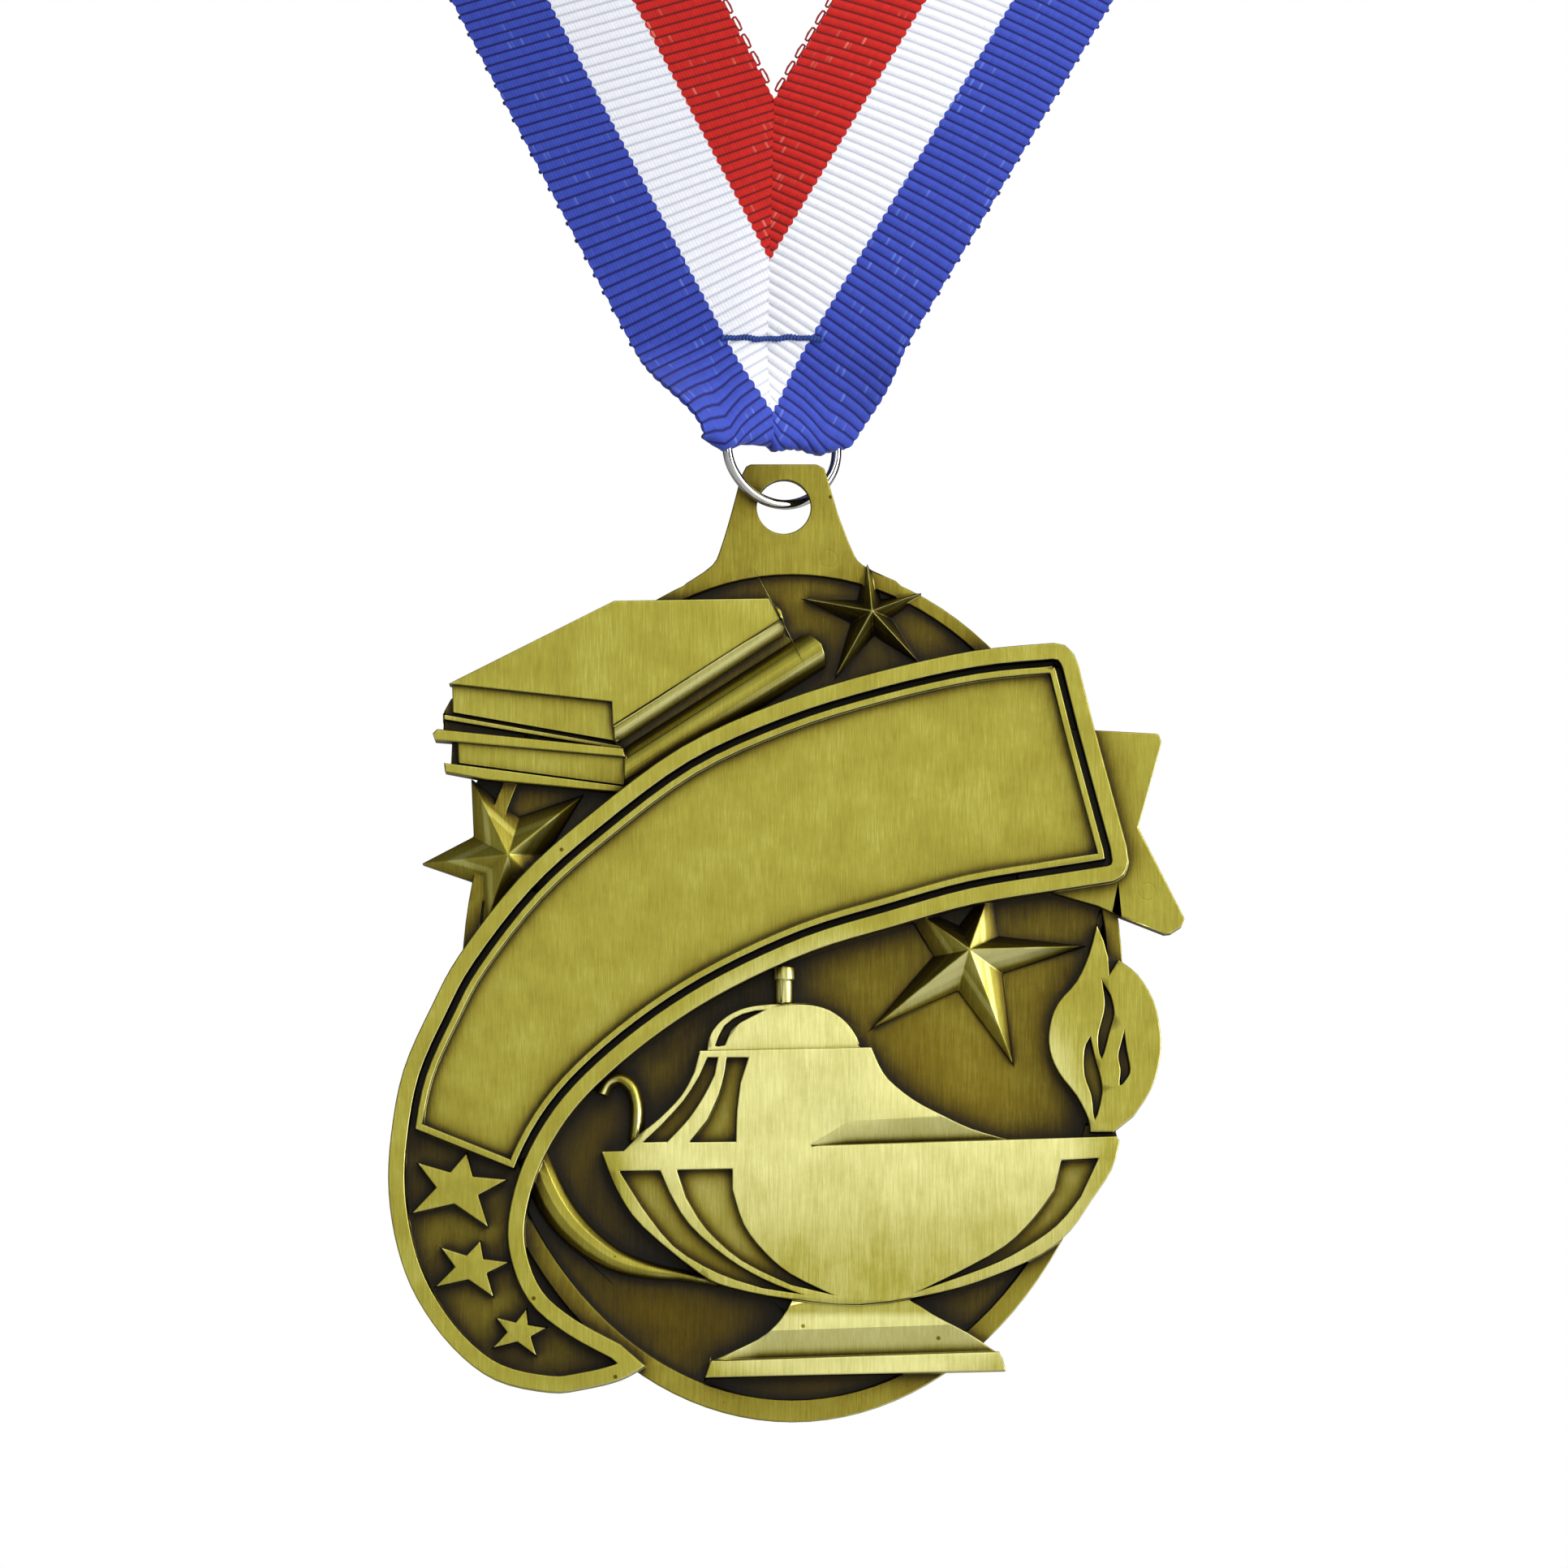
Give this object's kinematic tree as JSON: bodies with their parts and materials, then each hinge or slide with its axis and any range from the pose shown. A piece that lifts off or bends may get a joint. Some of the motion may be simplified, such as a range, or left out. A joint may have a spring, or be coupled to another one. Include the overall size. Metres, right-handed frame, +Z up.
{
  "type": "academic medallion on a neck ribbon",
  "caption": "Cast oval medallion with a blank banner, lamp, books and stars in relief, hung by a wire D-ring from a striped neck ribbon.",
  "frame": {"origin": "middle of the ribbon's inner face at the nape, where the loop hangs on a neck", "axes": "+Z up, -Y is the front of the medal, +X to the viewer's right; the medal hangs straight down along -Z in front of the nape"},
  "size_m": [0.1914, 0.1574, 0.3949],
  "materials": {
    "antique_gold": "cast, antiqued: bright brushed faces and dark patina in the recesses",
    "ring_wire": "polished nickel-plated steel wire",
    "ribbon_cloth": "ribbed grosgrain in blue, white and red stripes with a matt sheen"
  },
  "bodies": {
    "ribbon": {"ribbon": "ribbon_cloth"},
    "ring": {"ring": "ring_wire"},
    "medallion": {"medallion": "antique_gold"}
  },
  "joints": [
    {"name": "ring_swing", "type": "hinge", "parent": "ribbon", "child": "ring", "pos_m": [-0.00679, -0.1439, -0.2984], "axis": [0.8192, 0.5736, 0], "range_deg": [-25, 60]},
    {"name": "medal_swing", "type": "hinge", "parent": "ring", "child": "medallion", "pos_m": [-0.00679, -0.1439, -0.3044], "axis": [0, 1, 0], "range_deg": [-15, 15]}
  ]
}
